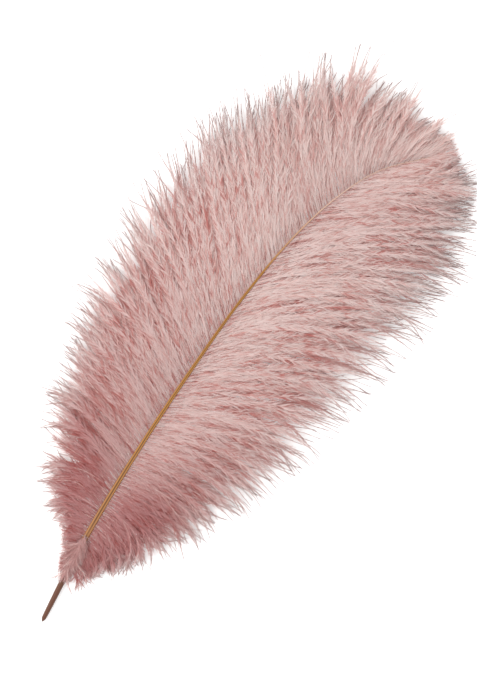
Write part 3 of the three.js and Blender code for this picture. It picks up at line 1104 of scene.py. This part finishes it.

# %% [markdown]
# ## The finish of the shaft
# Horn takes the dye badly, so the shaft keeps its own colours: brown at the bare quill, golden
# along the vane, and the pale rose of the down where it gets thin. The groove is painted darker
# than its sides, as painted shade in the recess, until the shaft is too thin to show it. The
# colours follow the shaft's own UV map.

# %% Horn finish
QUILL_BROWN = linear(98, 62, 46)
TAN = linear(168, 118, 76)
GOLD = linear(178, 124, 54)
FADED = linear(222, 186, 168)
# painted shade in the groove
GROOVE_SHADE_BROWN = linear(92, 56, 22)
HORN_STOPS = [
    (0.0, QUILL_BROWN), (0.1, QUILL_BROWN), (0.17, TAN), (0.4, GOLD), (0.66, GOLD), (0.82, FADED),
]
GRAIN_WAVES, GRAIN_DETAIL = (30.0, 18.0, 1.0), 4.0
GRAIN_FROM, GRAIN_SHARE = 0.35, 0.7
GRAIN_DEPTH = 0.1 * MM
TOP_OF_MAP = 0.255                          # where the shaft's top is, around the map
# the painted shade in the groove: its edges around the map, and how dark it gets
GROOVE_SIDES, GROOVE_SHADE_AMOUNT = (0.03, 0.075), (0.9, 0.0)
GROOVE_BEGINS, GROOVE_FADES = (0.12, 0.2), (0.6, 0.8)       # shares of the shaft's length


def horn_finish():
    finish, bench = new_finish("horn")
    where = bench.add("ShaderNodeUVMap", {"uv_map": "OFBake"})["UV"]
    parts = bench.add("ShaderNodeSeparateXYZ", None, {0: where})
    along, around = parts[0], parts[1]
    length = bench.add("ShaderNodeValToRGB", {"stops": HORN_STOPS}, {0: along})[0]
    grain = bench.noise(where, GRAIN_WAVES, GRAIN_DETAIL)
    colour = bench.mix((grain - GRAIN_FROM) * GRAIN_SHARE, length, QUILL_BROWN)
    # painted shade: the groove is coloured darker than its sides
    from_top = bench.maths("ABSOLUTE", around - TOP_OF_MAP)
    groove = bench.between(from_top, GROOVE_SIDES, GROOVE_SHADE_AMOUNT, smooth=True)
    begun = bench.between(along, GROOVE_BEGINS, smooth=True)
    fading = bench.between(along, GROOVE_FADES, (1.0, 0.0))
    colour = bench.mix(groove * begun * fading, colour, GROOVE_SHADE_BROWN)
    bump = bench.add("ShaderNodeBump", None, {"Strength": 0.25, "Distance": GRAIN_DEPTH, "Height": grain})[0]
    skin = bench.add(
        "ShaderNodeBsdfPrincipled",
        None,
        {"Base Color": colour, "Roughness": 0.5, "Normal": bump, "Specular IOR Level": 0.3},
    )[0]
    bench.add("ShaderNodeOutputMaterial", None, {"Surface": skin})
    return finish


shaft.data.materials.append(horn_finish())
print("finishes:", [finish.name for finish in bpy.data.materials])

# %% [markdown]
# ## Joining the frame
# The barbs and the shaft stand in for the plain solid, which is hidden but keeps its place.
# The barbs and the shaft stand in for the plain solid, which keeps its place for contact.

# %% Pieces on their body
for piece in vane_pieces:
    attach(piece, "root")
    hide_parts("feather")
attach(shaft, "root")
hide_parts("feather")
print("pieces on the root:", len(vane_pieces) + 1)

# %% [markdown]
# ## Table, light and camera
# A pale table and a large soft lamp keep the shadows open, as daylight from a window would. The
# table also shines a little by itself, so that the light that comes up between the thin ends of
# the barbs is as white as the table beside them. The camera looks straight down, turned so that
# the quill is at the lower left.

# %% Table and light
TABLE_HALF = 2.0            # m
TABLE_WHITE = 0.9
TABLE_SHINE = 0.25
LAMP_PLACE = (-0.5, 1.1, 1.3)
LAMP_SIZE = 0.7             # m across
LAMP_WATTS = 15.0
LAMP_COLOUR = (1.0, 0.99, 0.97)
ROOM_LIGHT = 1.05
WHITE = (1.0, 1.0, 1.0, 1.0)


def table_top():
    mesh = bpy.data.meshes.new("table_top")
    corners = [(-1, -1), (1, -1), (1, 1), (-1, 1)]
    mesh.from_pydata([(TABLE_HALF * x, TABLE_HALF * y, 0) for x, y in corners], [], [(0, 1, 2, 3)])
    top = placed("table_top", mesh)
    finish, bench = new_finish("pale table")
    skin = bench.add("ShaderNodeBsdfPrincipled", None, {
        "Base Color": (TABLE_WHITE, TABLE_WHITE, TABLE_WHITE, 1.0), "Roughness": 0.8,
        "Emission Color": WHITE, "Emission Strength": TABLE_SHINE,
    })[0]
    bench.add("ShaderNodeOutputMaterial", None, {"Surface": skin})
    mesh.materials.append(finish)


def window_light():
    light = bpy.data.lights.new("window", "AREA")
    light.shape = "DISK"
    light.size = LAMP_SIZE
    light.energy = LAMP_WATTS
    light.color = LAMP_COLOUR
    lamp = placed("window", light)
    lamp.location = LAMP_PLACE
    lamp.rotation_euler = (-Vector(LAMP_PLACE)).to_track_quat("-Z", "Y").to_euler()


table_top()
window_light()
world = bpy.data.worlds.new("room")
world.use_nodes = True
background = world.node_tree.nodes["Background"].inputs
background["Color"].default_value = WHITE
background["Strength"].default_value = ROOM_LIGHT
bpy.context.scene.world = world
bpy.context.scene.view_settings.view_transform = "Standard"
print("lamp, W:", LAMP_WATTS)

# %% Camera
LENS = 85.0                 # mm, as on a camera
SENSOR = 36.0
FRAME_TALL = 453.5 * MM     # what the picture's height takes in, at the feather
AIM = Vector((14.4, -11.2, 8.0)) * MM
ROLL = math.radians(-48)

camera_data = bpy.data.cameras.new("camera")
camera_data.lens = LENS
camera_data.sensor_width = SENSOR
camera = placed("camera", camera_data)
camera.location = AIM + Vector((0, 0, FRAME_TALL * LENS / SENSOR))
camera.rotation_euler = (0, 0, ROLL)
bpy.context.scene.camera = camera
print("camera height, m:", round(camera.location.z, 3))
